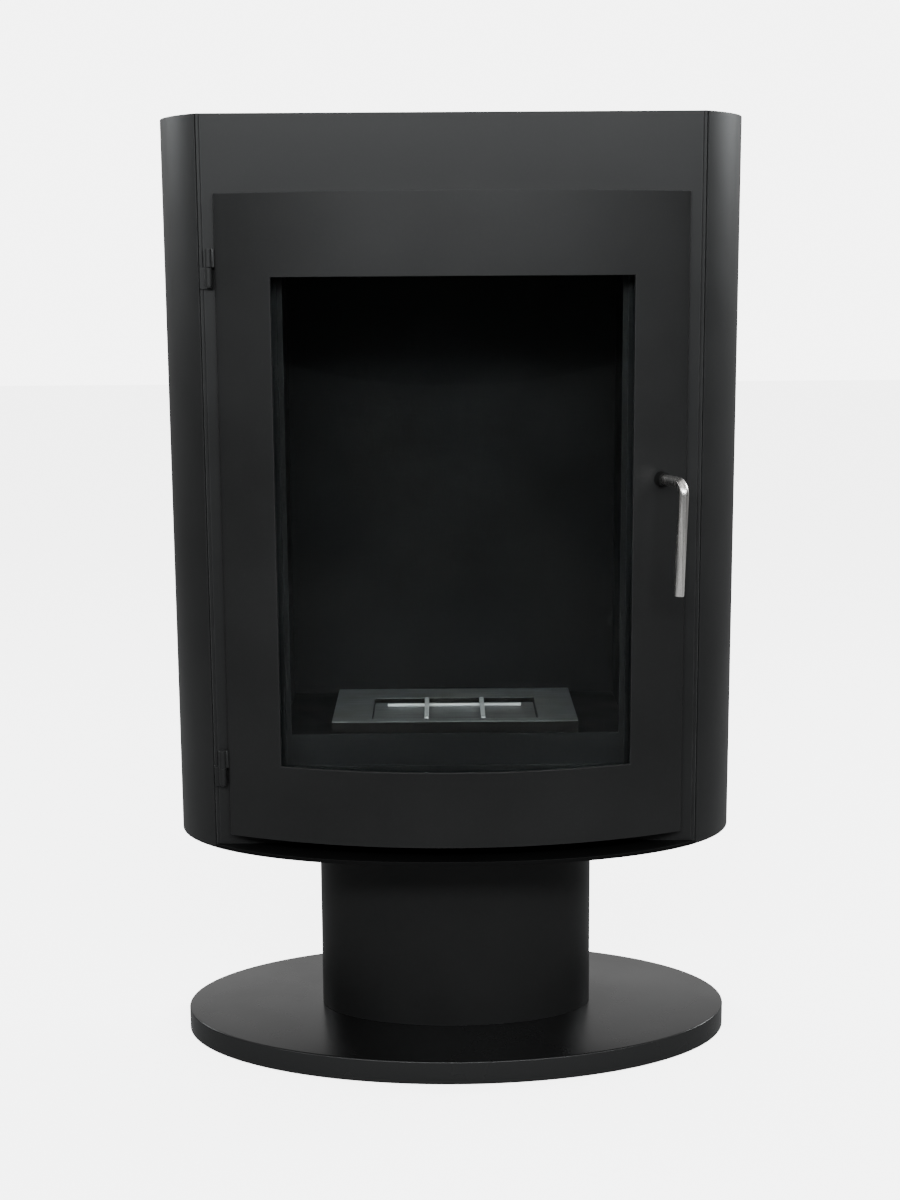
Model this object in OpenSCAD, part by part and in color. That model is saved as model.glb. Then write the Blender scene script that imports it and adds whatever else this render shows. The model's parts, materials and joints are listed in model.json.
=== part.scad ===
// Free-standing stove: an oval steel body on an oval pedestal and base, with a flat front
// fascia, a bowed glazed door on side hinges and a lift-out liquid-fuel burner.
// Millimetres. Origin on the floor under the centre of the base, front towards -Y.

/* [Body] */
// Height from the floor to the top of the body
total_h = 956; // [930:1:990]
// Width of the body at its widest
body_w = 580; // [576:1:590]
// Depth of the oval that the body's plan follows
body_d = 318; // [316:1:324]
// Squareness of the plan oval, 2 is an ellipse
body_n = 2.2; // [2.15:0.05:2.3]
// Height of the body's underside above the floor
body_z = 229; // [215:1:235]
// Thickness of the rolled side shells
shell_t = 2.5; // [2:0.5:3]
// Thickness of the flat front and back panels
panel_t = 3; // [2.5:0.5:3]
// Distance of the front fascia's face from the centre plane
fascia_y = 93; // [91:0.5:93]
// Distance of the back edge of the shells from the centre plane
back_y = 135; // [133:1:136]

/* [Base and pedestal] */
// Width of the base
base_w = 580; // [560:1:600]
// Depth of the base
base_d = 326; // [320:1:340]
// Thickness of the base
base_h = 25; // [24:1:28]
// Width of the pedestal column
column_w = 290; // [280:1:300]
// Depth of the pedestal column
column_d = 148; // [144:1:156]
// Wall of the pedestal column
column_t = 3; // [2:0.5:4]

/* [Door] */
// Outer radius of the bowed door
door_r = 540; // [536:1:546]
// Half width of the door, measured straight across
door_half_w = 229; // [226:1:230]
// Height of the door's bottom edge above the floor
door_z0 = 245; // [242:1:248]
// Height of the door's top edge above the floor
door_z1 = 881; // [878:1:884]
// Half width of the window, measured straight across
window_half_w = 174; // [170:1:175]
// Height of the window's lower edge
window_z0 = 322; // [320:1:330]
// Height of the window's upper edge
window_z1 = 802; // [796:1:804]
// Thickness of the door glass
glass_t = 4; // [3:1:4]

/* [Handle] */
// Diameter of the handle rod
rod_d = 10; // [9:0.5:11]
// Distance of the bar's centre line from the door
handle_reach = 45; // [40:1:50]
// Length of the hanging bar below the turning axis
handle_drop = 109; // [100:1:130]
// Height of the turning axis above the floor
handle_z = 606; // [596:1:616]
// Sideways place of the handle on the door, degrees round its bow
handle_phi = 22; // [21.5:0.5:22]
// How far the hanging bar leans to the hinge side, degrees
handle_lean = 2; // [0:0.5:3]

/* [Burner] */
// Width of the burner's top plate
plate_w = 250; // [246:1:252]
// Depth of the burner's top plate
plate_d = 148; // [146:1:150]
// Width of the burner's mouth
mouth_w = 170; // [160:1:176]
// Depth of the burner's mouth
mouth_d = 91; // [86:1:94]
// Depth of the fuel tank
tank_h = 60; // [50:5:80]

/* [Hidden] */

black_steel = [0.14, 0.14, 0.145];
liner_steel = [0.07, 0.07, 0.08];
plain_steel = [0.45, 0.46, 0.47];
bright_steel = [0.75, 0.75, 0.74];

gap = 0.2;
oval_steps = 40;
true_fn = 64;
bow_fn = 720;

// --- plan of the body -------------------------------------------------------------------
half_w = body_w / 2;
half_d = body_d / 2;

function signed_pow(v, e) = sign(v) * pow(abs(v), e);
function oval_point(t, a, b, n) = [a * signed_pow(cos(t), 2 / n), b * signed_pow(sin(t), 2 / n)];
function oval_slope(p, a, b, n) = [signed_pow(p.x / a, n - 1) / a, signed_pow(p.y / b, n - 1) / b];
function oval_inset(t, a, b, n, inset) =
    let (p = oval_point(t, a, b, n), g = oval_slope(p, a, b, n)) p - inset * g / norm(g);
function oval_arc(t0, t1, a, b, n, inset, steps) =
    [for (i = [0:steps]) oval_inset(t0 + (t1 - t0) * i / steps, a, b, n, inset)];
function oval_ring(a, b, inset, steps) =
    [for (i = [0:steps - 1]) oval_inset(360 * i / steps, a, b, 2, inset)];
function body_arc(t0, t1, inset) = oval_arc(t0, t1, half_w, half_d, body_n, inset, oval_steps);
function backwards(list) = [for (i = [len(list) - 1:-1:0]) list[i]];
function turn_at(y) = asin(pow(y / half_d, body_n / 2));

front_turn = turn_at(fascia_y);
back_turn = turn_at(back_y);
seam_x = oval_point(-front_turn, half_w, half_d, body_n).x;
back_x = oval_point(back_turn, half_w, half_d, body_n).x;

fascia_back = -fascia_y + panel_t;
floor_t = 4;
floor_top = body_z + floor_t;
back_panel_y1 = back_y - 0.5;
back_panel_y0 = back_panel_y1 - panel_t;
rail_y0 = back_panel_y0 - panel_t;

module slab(x0, x1, y0, y1, z0, z1) {
    translate([x0, y0, z0]) cube([x1 - x0, y1 - y0, z1 - z0]);
}
module oval_plate(a, b, inset, z0, z1) {
    translate([0, 0, z0]) linear_extrude(z1 - z0) polygon(oval_ring(a, b, inset, 2 * oval_steps));
}
module four_posts(x, y, r, z0, z1) {
    for (sx = [-1, 1], sy = [-1, 1])
        translate([sx * x, sy * y, z0]) cylinder(r = r, h = z1 - z0, $fn = true_fn);
}
module hex_nut(across, r, h) {
    difference() {
        cylinder(d = across / cos(30), h = h, $fn = 6);
        translate([0, 0, -1]) cylinder(r = r, h = h + 2, $fn = true_fn);
    }
}

// --- base -------------------------------------------------------------------------------
base_a = base_w / 2;
base_b = base_d / 2;
pad_t = 2;
skirt_t = 2.5;
underplate_t = 6;
underplate_top = pad_t + underplate_t;
column_a = column_w / 2;
column_b = column_d / 2;
flange_t = 6;
bolt_x = 95;
bolt_y = 30;
bolt_r = 4;
bolt_hole_r = 4.5;
washer_t = 1.6;
washer_r = 8;
nut_across = 13;
nut_h = 6.5;
stud_top = base_h + flange_t + washer_t + nut_h + 4;
head_flange_z0 = body_z - flange_t;

module floor_pad() {
    color("dimgray") oval_plate(base_a, base_b, 8, 0, pad_t);
}
module base_underplate() {
    color(plain_steel) oval_plate(base_a, base_b, skirt_t + gap, pad_t, underplate_top);
}
module ballast_slab() {
    color("gray") difference() {
        oval_plate(base_a, base_b, skirt_t + gap, underplate_top, base_h - skirt_t);
        four_posts(bolt_x, bolt_y, bolt_hole_r, 0, base_h);
    }
}
module base_cover() {
    color(black_steel) difference() {
        oval_plate(base_a, base_b, 0, 1, base_h);
        oval_plate(base_a, base_b, skirt_t, 0, base_h - skirt_t);
        four_posts(bolt_x, bolt_y, bolt_hole_r, 0, base_h + 1);
    }
}
module base_studs() {
    color(plain_steel) four_posts(bolt_x, bolt_y, bolt_r, underplate_top, stud_top);
}
module nut_and_washer(z) {
    for (sx = [-1, 1], sy = [-1, 1]) translate([sx * bolt_x, sy * bolt_y, z]) {
        difference() {
            cylinder(r = washer_r, h = washer_t, $fn = true_fn);
            translate([0, 0, -1]) cylinder(r = bolt_r + 0.05, h = washer_t + 2, $fn = true_fn);
        }
        translate([0, 0, washer_t]) hex_nut(nut_across, bolt_r + 0.05, nut_h);
    }
}
module base_nuts() {
    color(plain_steel) nut_and_washer(base_h + flange_t);
}

// --- pedestal ---------------------------------------------------------------------------
module column_flange(z0) {
    difference() {
        oval_plate(column_a, column_b, column_t + gap, z0, z0 + flange_t);
        four_posts(bolt_x, bolt_y, bolt_hole_r, z0 - 1, z0 + flange_t + 1);
        translate([0, 0, z0 - 1]) cylinder(r = 35, h = flange_t + 2, $fn = true_fn);
    }
}
module pedestal_foot_flange() {
    color(plain_steel) column_flange(base_h);
}
module pedestal_head_flange() {
    color(plain_steel) column_flange(head_flange_z0);
}
module pedestal_column() {
    color(black_steel) difference() {
        oval_plate(column_a, column_b, 0, base_h, body_z);
        oval_plate(column_a, column_b, column_t, base_h - 1, body_z + 1);
    }
}
module column_bolts() {
    head_h = 5.3;
    color(plain_steel) for (sx = [-1, 1], sy = [-1, 1]) translate([sx * bolt_x, sy * bolt_y, 0]) {
        translate([0, 0, head_flange_z0 - washer_t - nut_h - 3])
            cylinder(r = bolt_r, h = floor_top - head_flange_z0 + washer_t + nut_h + 3, $fn = true_fn);
        translate([0, 0, floor_top]) cylinder(d = nut_across / cos(30), h = head_h, $fn = 6);
    }
}
module column_nuts() {
    color(plain_steel) translate([0, 0, head_flange_z0]) mirror([0, 0, 1]) nut_and_washer(0);
}

// --- outer casing -----------------------------------------------------------------------
module body_floor() {
    inset = shell_t + gap;
    right_side = body_arc(-front_turn, turn_at(back_panel_y0), inset);
    left_side = [for (p = backwards(right_side)) [-p.x, p.y]];
    front_lip = body_arc(-180 + front_turn, -front_turn, 0);
    color(black_steel) difference() {
        translate([0, 0, body_z]) linear_extrude(floor_t) polygon(concat(front_lip, right_side, left_side));
        four_posts(bolt_x, bolt_y, bolt_hole_r, body_z - 1, floor_top + 1);
    }
}
module side_shell() {
    outside = body_arc(-front_turn, back_turn, 0);
    inside = body_arc(-front_turn, back_turn, shell_t);
    translate([0, 0, body_z]) linear_extrude(total_h - body_z) polygon(concat(outside, backwards(inside)));
}
module right_side_shell() {
    color(black_steel) side_shell();
}
module left_side_shell() {
    color(black_steel) mirror([1, 0, 0]) side_shell();
}

opening_half_w = 165;
opening_z0 = 347;
opening_z1 = 802;
slot_x0 = 182.4;
slot_x1 = 216;
slot_half_h = 9;

module front_fascia() {
    face_x = seam_x - 1;
    rear_x = seam_x - 2.6;
    return_t = 2.5;
    return_d = 16;
    outline = [[-face_x, -fascia_y], [face_x, -fascia_y], [rear_x, -fascia_y + 1.8],
        [rear_x, fascia_back], [-rear_x, fascia_back], [-rear_x, -fascia_y + 1.8]];
    color(black_steel) difference() {
        union() {
            translate([0, 0, floor_top]) linear_extrude(total_h - floor_top) polygon(outline);
            for (s = [-1, 1])
                slab(s * rear_x - (s > 0 ? return_t : 0), s * rear_x + (s > 0 ? 0 : return_t),
                    fascia_back - 1, fascia_back + return_d, floor_top, total_h - 8);
        }
        slab(-opening_half_w, opening_half_w, -fascia_y - 1, fascia_back + 1, opening_z0, opening_z1);
        slab(slot_x0, slot_x1, -fascia_y - 1, fascia_back + 1,
            handle_z - slot_half_h, handle_z + slot_half_h);
    }
}
module round_slot(length, width, height) {
    slab(-length / 2 + width / 2, length / 2 - width / 2, -width / 2, width / 2, 0, height);
    for (s = [-1, 1])
        translate([s * (length - width) / 2, 0, 0]) cylinder(d = width, h = height, $fn = 32);
}

back_half_w = back_x - 1;
rail_x0 = 142;
rail_x1 = back_x + 2;
screw_x = 153;
screw_zs = [255, 480, 705, 930];
vent_zs = [262, 278, 294, 310, 872, 888, 904, 920];

module back_rails() {
    color(plain_steel) difference() {
        for (s = [-1, 1])
            slab(s > 0 ? rail_x0 : -rail_x1, s > 0 ? rail_x1 : -rail_x0, rail_y0, back_panel_y0 - 0.02,
                floor_top + 1, total_h - panel_t - gap);
        for (sx = [-1, 1], z = screw_zs)
            translate([sx * screw_x, rail_y0 - 1, z]) rotate([-90, 0, 0])
                cylinder(r = 2.05, h = panel_t + 2, $fn = true_fn);
    }
}
module back_panel() {
    color(black_steel) difference() {
        slab(-back_half_w, back_half_w, back_panel_y0, back_panel_y1, body_z + 1, total_h);
        for (sx = [-1, 1], z = screw_zs)
            translate([sx * screw_x, back_panel_y0 - 1, z]) rotate([-90, 0, 0])
                cylinder(r = 2.3, h = panel_t + 2, $fn = true_fn);
        for (x = [-75, 0, 75], z = vent_zs)
            translate([x, back_panel_y1 + 1, z]) rotate([90, 0, 0]) round_slot(56, 6, panel_t + 2);
    }
}
module back_screws() {
    color(bright_steel) for (sx = [-1, 1], z = screw_zs)
        translate([sx * screw_x, 0, z]) rotate([-90, 0, 0]) {
            translate([0, 0, rail_y0 - 4]) cylinder(r = 2, h = back_panel_y1 - rail_y0 + 4, $fn = 32);
            difference() {
                translate([0, 0, back_panel_y1]) cylinder(r1 = 4, r2 = 3, h = 2.2, $fn = true_fn);
                translate([0, 0, back_panel_y1 + 1]) cylinder(d = 2.9, h = 2, $fn = 6);
            }
        }
}
module top_plate() {
    inset = shell_t + gap;
    right_side = body_arc(-turn_at(-fascia_back - gap), turn_at(back_panel_y0 - gap), inset);
    left_side = [for (p = backwards(right_side)) [-p.x, p.y]];
    vent_pitch = 24;
    color(black_steel) difference() {
        translate([0, 0, total_h - panel_t]) linear_extrude(panel_t) polygon(concat(right_side, left_side));
        for (x = [-6:6], y = [-24, 60])
            translate([x * vent_pitch, y, total_h - panel_t - 1]) rotate(90) round_slot(70, 7, panel_t + 2);
    }
}

// --- firebox ----------------------------------------------------------------------------
liner_t = 1.5;
liner_x = 177;
liner_y0 = fascia_back + gap;
liner_y1 = 101;
liner_z0 = 320;
liner_z1 = 845;
shelf_top = 345;
shelf_t = 2;
deflector_z = 880;
deflector_x = 150;
shield_y = 114;
shield_x = 140;
shield_z0 = 360;
shield_z1 = total_h - panel_t - 5;

module firebox_wall() {
    slab(liner_x, liner_x + liner_t, liner_y0, liner_y1, liner_z0, liner_z1);
}
module firebox_right_wall() {
    color(liner_steel) firebox_wall();
}
module firebox_left_wall() {
    color(liner_steel) mirror([1, 0, 0]) firebox_wall();
}
module firebox_back() {
    color(liner_steel) slab(-liner_x - liner_t, liner_x + liner_t, liner_y1, liner_y1 + liner_t,
        liner_z0, liner_z1);
}
module firebox_roof() {
    color(liner_steel) difference() {
        slab(-liner_x - liner_t, liner_x + liner_t, liner_y0, liner_y1 + liner_t, liner_z1, liner_z1 + liner_t);
        for (x = [-5:5])
            translate([x * 26, 10, liner_z1 - 1]) rotate(90) round_slot(110, 10, liner_t + 2);
    }
}
module heat_deflector() {
    color(plain_steel) slab(-deflector_x - 15, deflector_x + 15, -60, 85, deflector_z, deflector_z + liner_t);
}
module deflector_spacers() {
    color(plain_steel) for (sx = [-1, 1], y = [-45, 70])
        translate([sx * deflector_x, y, liner_z1 + liner_t])
            cylinder(r = 5, h = deflector_z - liner_z1 - liner_t, $fn = 32);
}
module rear_heat_shield() {
    color(plain_steel) slab(-shield_x, shield_x, shield_y, shield_y + liner_t, shield_z0, shield_z1);
}
module shield_spacers() {
    color(plain_steel) for (sx = [-1, 1], z = [400, 795])
        translate([sx * 120, liner_y1 + liner_t, z]) rotate([-90, 0, 0])
            cylinder(r = 4, h = shield_y - liner_y1 - liner_t, $fn = 32);
}
module shelf_angles() {
    inner = liner_x - gap;
    color(plain_steel) for (s = [-1, 1]) scale([s, 1, 1]) union() {
        slab(inner - 20, inner, liner_y0 + 5, liner_y1 - 5, shelf_top - shelf_t - 2, shelf_top - shelf_t);
        slab(inner - 2, inner, liner_y0 + 5, liner_y1 - 5, liner_z0 + 2, shelf_top - shelf_t - 1);
    }
}

// --- burner -----------------------------------------------------------------------------
sheet_t = 1.5;
burner_y = -12;
mouth_y = -27.5;
plate_top = 358;
plate_t = 2;
tank_w = plate_w - 14;
tank_d = plate_d - 14;
tank_z0 = shelf_top - tank_h;
flange_reach = 4.5;
flange_up = 1;
seat_z = 350;
seat_reach = 7;
lid_z = seat_z + sheet_t;
lid_t = 1.5;
lid_gap = 1;
strap_x = 29;
strap_w = 4.6;
strap_t = 2.2;
lid_rod_d = 3.6;
lid_rod_l = 141;
lid_rod_y = mouth_y + 26;

module box_about(y, w, d, z0, z1) {
    slab(-w / 2, w / 2, y - d / 2, y + d / 2, z0, z1);
}
module burner_shelf() {
    clear = 1.5;
    color(liner_steel) difference() {
        slab(-liner_x + gap, liner_x - gap, liner_y0, liner_y1 - gap, shelf_top - shelf_t, shelf_top);
        box_about(burner_y, tank_w + 2 * clear, tank_d + 2 * clear, shelf_top - 5, shelf_top + 5);
    }
}
module fuel_tank() {
    color(plain_steel) difference() {
        union() {
            box_about(burner_y, tank_w, tank_d, tank_z0, shelf_top + flange_up);
            box_about(burner_y, tank_w + 2 * flange_reach, tank_d + 2 * flange_reach,
                shelf_top, shelf_top + flange_up);
        }
        box_about(burner_y, tank_w - 2 * sheet_t, tank_d - 2 * sheet_t, tank_z0 + sheet_t, plate_top);
    }
}
wick_top = shelf_top - 4;
module wick_block() {
    color("ivory") box_about(burner_y, tank_w - 2 * sheet_t - 1, tank_d - 2 * sheet_t - 1,
        tank_z0 + sheet_t, wick_top);
}
module wick_screen() {
    color(plain_steel) difference() {
        box_about(burner_y, tank_w - 2 * sheet_t - 1, tank_d - 2 * sheet_t - 1, wick_top, wick_top + 1);
        for (x = [-6:6], y = [-40, 0, 40])
            translate([x * 15, burner_y + y, wick_top - 1]) rotate(90) round_slot(32, 5, 3);
    }
}
module burner_top_plate() {
    color(plain_steel) difference() {
        box_about(burner_y, plate_w, plate_d, shelf_top, plate_top);
        box_about(burner_y, plate_w - 2 * sheet_t, plate_d - 2 * sheet_t, shelf_top - 1, plate_top - plate_t);
        box_about(mouth_y, mouth_w, mouth_d, shelf_top, plate_top + 1);
    }
}
module lid_seat() {
    color(plain_steel) difference() {
        box_about(mouth_y, mouth_w + 2 * sheet_t, mouth_d + 2 * sheet_t, seat_z, plate_top - plate_t);
        box_about(mouth_y, mouth_w, mouth_d, seat_z + sheet_t, plate_top);
        box_about(mouth_y, mouth_w - 2 * seat_reach, mouth_d - 2 * seat_reach, seat_z - 1, plate_top);
    }
}
module burner_lid() {
    color(plain_steel) box_about(mouth_y, mouth_w - 2 * lid_gap, mouth_d - 2 * lid_gap, lid_z, lid_z + lid_t);
}
strap_z = lid_z + lid_t + lid_rod_d + 0.3;
module lid_straps() {
    length = mouth_d - 2 * lid_gap - 1;
    foot = 3;
    color(bright_steel) for (s = [-1, 1]) translate([s * strap_x, mouth_y, 0]) {
        slab(-strap_w / 2, strap_w / 2, -length / 2, length / 2, strap_z, strap_z + strap_t);
        for (e = [-1, 1]) translate([0, e * (length - foot) / 2, 0])
            slab(-strap_w / 2, strap_w / 2, -foot / 2, foot / 2, lid_z + lid_t, strap_z + 1);
    }
}
module lid_rod() {
    color(bright_steel) translate([-lid_rod_l / 2, lid_rod_y, lid_z + lid_t + lid_rod_d / 2 + 0.15])
        rotate([0, 90, 0]) cylinder(d = lid_rod_d, h = lid_rod_l, $fn = true_fn);
}

// --- door -------------------------------------------------------------------------------
door_front_y = -152;
door_cy = door_front_y + door_r;
door_t = 3;
door_in_r = door_r - door_t;
gasket_t = 1.4;
glass_out_r = door_in_r - gasket_t - 0.1;
glass_in_r = glass_out_r - glass_t;
glass_half_w = window_half_w + 12;
glass_z0 = window_z0 - 12;
glass_z1 = window_z1 + 12;
door_back_y = -fascia_y - 2;
frame_t = 2;
cap_t = 3;

// A bowed sheet between two radii, cut off straight at both sides
module bowed_sheet(r_out, r_in, half, z0, z1) {
    intersection() {
        translate([0, door_cy, z0]) difference() {
            cylinder(r = r_out, h = z1 - z0, $fn = bow_fn);
            translate([0, 0, -1]) cylinder(r = r_in, h = z1 - z0 + 2, $fn = bow_fn);
        }
        slab(-half, half, door_front_y - 10, door_front_y + 90, z0 - 1, z1 + 1);
    }
}
// Places children on the door: -Y points straight out of it at angle phi
module on_door(phi, z) {
    translate([0, door_cy, z]) rotate(phi) children();
}
module shaft_hole(r) {
    on_door(handle_phi, handle_z) translate([0, -door_r + 30, 0]) rotate([90, 0, 0])
        cylinder(r = r, h = 40, $fn = true_fn);
}
module door_panel() {
    return_y = door_cy - sqrt(door_r * door_r - door_half_w * door_half_w) + 1;
    color(black_steel) difference() {
        union() {
            bowed_sheet(door_r, door_in_r, door_half_w, door_z0, door_z1);
            for (s = [-1, 1]) slab(s > 0 ? door_half_w - door_t : -door_half_w,
                s > 0 ? door_half_w : -door_half_w + door_t, return_y, door_back_y, door_z0, door_z1);
        }
        slab(-window_half_w, window_half_w, door_front_y - 5, door_front_y + 60, window_z0, window_z1);
        shaft_hole(6);
    }
}
module door_cap(z0) {
    inner_half = door_half_w - door_t - gap;
    color(black_steel) intersection() {
        translate([0, door_cy, z0]) cylinder(r = door_in_r - gap, h = cap_t, $fn = bow_fn);
        slab(-inner_half, inner_half, door_front_y - 5, door_back_y, z0 - 1, z0 + cap_t + 1);
    }
}
module door_top_cap() {
    door_cap(door_z1 - cap_t);
}
module door_bottom_cap() {
    door_cap(door_z0);
}
module door_inner_frame() {
    inner_half = door_half_w - door_t - gap;
    color(black_steel) difference() {
        slab(-inner_half, inner_half, door_back_y - frame_t, door_back_y,
            door_z0 + cap_t + gap, door_z1 - cap_t - gap);
        slab(-opening_half_w - 5, opening_half_w + 5, door_back_y - frame_t - 1, door_back_y + 1,
            window_z0 - 7, window_z1 + 6);
        shaft_hole(6.8);
    }
}
module door_glass() {
    color([0.3, 0.35, 0.38, 0.4])
        bowed_sheet(glass_out_r, glass_in_r, glass_half_w, glass_z0, glass_z1);
}
module glass_gasket() {
    color("black") difference() {
        bowed_sheet(door_in_r - 0.05, glass_out_r + 0.05, glass_half_w - 1, glass_z0 + 1, glass_z1 - 1);
        slab(-window_half_w - 1.5, window_half_w + 1.5, door_front_y - 5, door_front_y + 60,
            window_z0 - 1.5, window_z1 + 1.5);
    }
}

clip_w = 14;
clip_t = 1.6;
clip_pad = 7;
clip_foot = 13;
side_phi = asin((glass_half_w + 2.2) / door_in_r);
side_clip_zs = [400, 562, 724];
end_clip_phi = 10;

// A Z-shaped clip that holds the glass edge; the panel's inner face is at local y = 0
module clip() {
    pad_y = gasket_t + glass_t + 0.4;
    slab(-clip_pad, 3, pad_y, pad_y + clip_t, -clip_w / 2, clip_w / 2);
    slab(1.2, 3, 0.3, pad_y + clip_t, -clip_w / 2, clip_w / 2);
    slab(1.2, clip_foot, 0.3, 0.3 + clip_t, -clip_w / 2, clip_w / 2);
}
module clip_screw() {
    translate([8, 0.3 + clip_t, 0]) rotate([-90, 0, 0]) cylinder(r = 3.4, h = 2.4, $fn = 32);
}
module each_clip() {
    for (z = side_clip_zs, s = [-1, 1])
        on_door(s * side_phi, z) translate([0, -door_in_r, 0]) rotate([0, s > 0 ? 0 : 180, 0]) children();
    for (s = [-1, 1]) {
        on_door(s * end_clip_phi, glass_z1) translate([0, -door_in_r, 0]) rotate([0, -90, 0]) children();
        on_door(s * end_clip_phi, glass_z0) translate([0, -door_in_r, 0]) rotate([0, 90, 0]) children();
    }
}
module glass_clips() {
    color(plain_steel) each_clip() clip();
}
module clip_screws() {
    color(bright_steel) each_clip() clip_screw();
}
module door_seal() {
    seal_y1 = -fascia_y - 0.3;
    color("dimgray") difference() {
        slab(-180, 180, door_back_y, seal_y1, window_z0 - 18, window_z1 + 17);
        slab(-172.5, 172.5, door_back_y - 1, seal_y1 + 1, window_z0 - 10.5, window_z1 + 9.5);
    }
}

// --- hinges -----------------------------------------------------------------------------
hinge_x = -door_half_w - 6;
hinge_y = -fascia_y - 5.6;
hinge_zs = [297, 794];
knuckle_r = 3.8;
knuckle_h = 17.4;
pin_r = 2.1;
pin_bore_r = 2.15;
door_knuckle_z = knuckle_h + 0.4;

module hinge_leaves() {
    color(black_steel) for (z = hinge_zs) translate([hinge_x, hinge_y, z]) difference() {
        union() {
            cylinder(r = knuckle_r, h = knuckle_h, $fn = true_fn);
            slab(-3, 3, 0, -hinge_y - fascia_y, 0, knuckle_h);
            slab(-9, 3, -hinge_y - fascia_y - 2, -hinge_y - fascia_y, -3, knuckle_h);
        }
        translate([0, 0, -1]) cylinder(r = pin_bore_r, h = knuckle_h + 2, $fn = true_fn);
    }
}
module hinge_pins() {
    color(plain_steel) for (z = hinge_zs) translate([hinge_x, hinge_y, z]) {
        translate([0, 0, -1.5]) cylinder(r = pin_r + 0.8, h = 1.5, $fn = true_fn);
        cylinder(r = pin_r, h = 2 * knuckle_h - 2.5, $fn = true_fn);
    }
}
module door_knuckles() {
    color(black_steel) for (z = hinge_zs) translate([hinge_x, hinge_y, z + door_knuckle_z]) difference() {
        union() {
            cylinder(r = knuckle_r, h = knuckle_h, $fn = true_fn);
            slab(0, 6, -1.2, 1.2, 0, knuckle_h);
        }
        translate([0, 0, -1]) cylinder(r = pin_bore_r, h = knuckle_h - 0.6, $fn = true_fn);
    }
}

// --- handle and latch -------------------------------------------------------------------
rod_r = rod_d / 2;
bend_r = 12;
boss_r = 7.8;
boss_h = 8;
thread_r = 4;
cam_in = 28.5;
cam_t = 3;
cam_w = 8;
cam_reach = 20;

module handle_escutcheon() {
    color("black") on_door(handle_phi, handle_z) rotate([90, 0, 0]) difference() {
        union() {
            translate([0, 0, door_r]) cylinder(r1 = boss_r, r2 = boss_r - 1, h = boss_h, $fn = true_fn);
            translate([0, 0, door_r - 17]) cylinder(r = 5.9, h = 18, $fn = true_fn);
        }
        translate([0, 0, door_r - 20]) cylinder(r = rod_r + 0.06, h = 40, $fn = true_fn);
    }
}
module handle_bar() {
    leg_end = door_r + handle_reach - bend_r;
    color(bright_steel) on_door(handle_phi, handle_z) rotate([0, handle_lean, 0]) union() {
        rotate([90, 0, 0]) {
            translate([0, 0, door_r - cam_in]) cylinder(r = rod_r, h = leg_end - door_r + cam_in, $fn = true_fn);
            translate([0, 0, door_r - cam_in - 9]) cylinder(r = thread_r, h = 10, $fn = true_fn);
        }
        translate([0, -leg_end, -bend_r]) rotate([90, 0, -90])
            rotate_extrude(angle = 90, $fn = 96) translate([bend_r, 0]) circle(r = rod_r, $fn = true_fn);
        translate([0, -leg_end - bend_r, -handle_drop])
            cylinder(r = rod_r, h = handle_drop - bend_r, $fn = true_fn);
    }
}
module latch_cam() {
    color(plain_steel) on_door(handle_phi, handle_z) translate([0, -door_r + cam_in, 0]) difference() {
        union() {
            translate([0, cam_t, 0]) rotate([90, 0, 0]) cylinder(r = 6.5, h = cam_t, $fn = true_fn);
            slab(-cam_w / 2, cam_w / 2, 0, cam_t, -cam_reach, 0);
        }
        translate([0, cam_t + 1, 0]) rotate([90, 0, 0])
            cylinder(r = thread_r + 0.03, h = cam_t + 2, $fn = true_fn);
    }
}
module cam_nut() {
    color(plain_steel) on_door(handle_phi, handle_z) translate([0, -door_r + cam_in + cam_t + 5, 0])
        rotate([90, 0, 0]) hex_nut(nut_across, thread_r + 0.03, 5);
}
module latch_keeper() {
    color(plain_steel) slab(184, 206, fascia_back, fascia_back + 1.6, handle_z - 24, handle_z - slot_half_h - 0.5);
}

floor_pad();
base_underplate();
ballast_slab();
base_cover();
base_studs();
base_nuts();
pedestal_foot_flange();
pedestal_column();
pedestal_head_flange();
column_bolts();
column_nuts();
body_floor();
left_side_shell();
right_side_shell();
front_fascia();
back_rails();
back_panel();
back_screws();
top_plate();
firebox_left_wall();
firebox_right_wall();
firebox_back();
firebox_roof();
heat_deflector();
deflector_spacers();
rear_heat_shield();
shield_spacers();
shelf_angles();
burner_shelf();
latch_keeper();
hinge_leaves();
hinge_pins();
door_panel();
door_top_cap();
door_bottom_cap();
door_inner_frame();
door_glass();
glass_gasket();
glass_clips();
clip_screws();
door_seal();
door_knuckles();
handle_escutcheon();
handle_bar();
latch_cam();
cam_nut();
fuel_tank();
wick_block();
wick_screen();
burner_top_plate();
lid_seat();
burner_lid();
lid_straps();
lid_rod();
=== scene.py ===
import json
import math

import bmesh
import bpy
from mathutils import Euler, Matrix, Vector


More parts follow.
